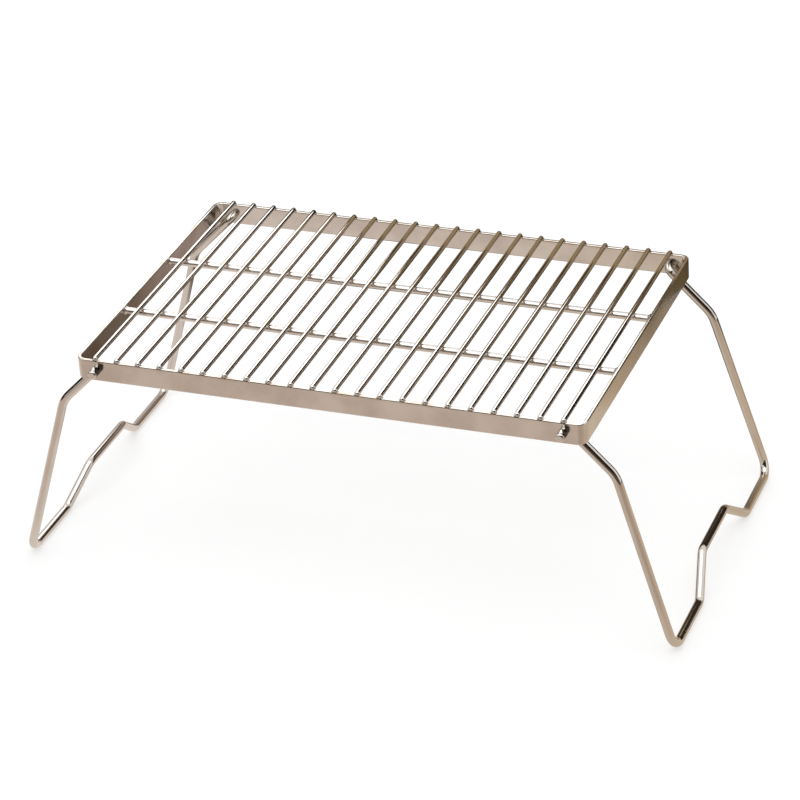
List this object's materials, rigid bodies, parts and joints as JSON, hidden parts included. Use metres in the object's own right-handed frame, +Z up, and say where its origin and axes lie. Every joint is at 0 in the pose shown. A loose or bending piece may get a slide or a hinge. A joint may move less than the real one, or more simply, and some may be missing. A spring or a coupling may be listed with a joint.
{
  "type": "folding camp grill",
  "caption": "Free-standing folding camp grill: a rectangular flat-strip frame with a grate of round rods, on two bent-wire legs that fold flat under it.",
  "frame": {"origin": "on the ground, under the middle of the open grill", "axes": "+X along the frame's long sides, towards the right leg; +Y along the grill rods, towards the back; +Z up"},
  "size_m": [0.5822, 0.316, 0.2079],
  "materials": {
    "frame_steel": "polished stainless strip, faintly drawn along its length",
    "rod_steel": "bright polished stainless wire",
    "leg_steel": "bright polished stainless wire"
  },
  "bodies": {
    "grate": {"frame_band": "frame_steel", "grill_rod_01": "rod_steel", "grill_rod_02": "rod_steel", "grill_rod_03": "rod_steel", "grill_rod_04": "rod_steel", "grill_rod_05": "rod_steel", "grill_rod_06": "rod_steel", "grill_rod_07": "rod_steel", "grill_rod_08": "rod_steel", "grill_rod_09": "rod_steel", "grill_rod_10": "rod_steel", "grill_rod_11": "rod_steel", "grill_rod_12": "rod_steel", "grill_rod_13": "rod_steel", "grill_rod_14": "rod_steel", "grill_rod_15": "rod_steel", "grill_rod_16": "rod_steel", "grill_rod_17": "rod_steel", "grill_rod_18": "rod_steel", "grill_rod_19": "rod_steel", "grill_rod_20": "rod_steel", "grill_rod_21": "rod_steel", "grill_rod_22": "rod_steel", "cross_bar_front": "rod_steel", "cross_bar_rear": "rod_steel"},
    "left_leg": {"leg_left": "leg_steel"},
    "right_leg": {"leg_right": "leg_steel"}
  },
  "joints": [
    {"name": "right_leg_fold", "type": "hinge", "parent": "grate", "child": "right_leg", "pos_m": [0.2017, 0, 0.19534], "axis": [0, 1, 0], "range_deg": [0, 110.7]},
    {"name": "left_leg_fold", "type": "hinge", "parent": "grate", "child": "left_leg", "pos_m": [-0.2017, 0, 0.19534], "axis": [0, -1, 0], "range_deg": [0, 108.4]}
  ]
}
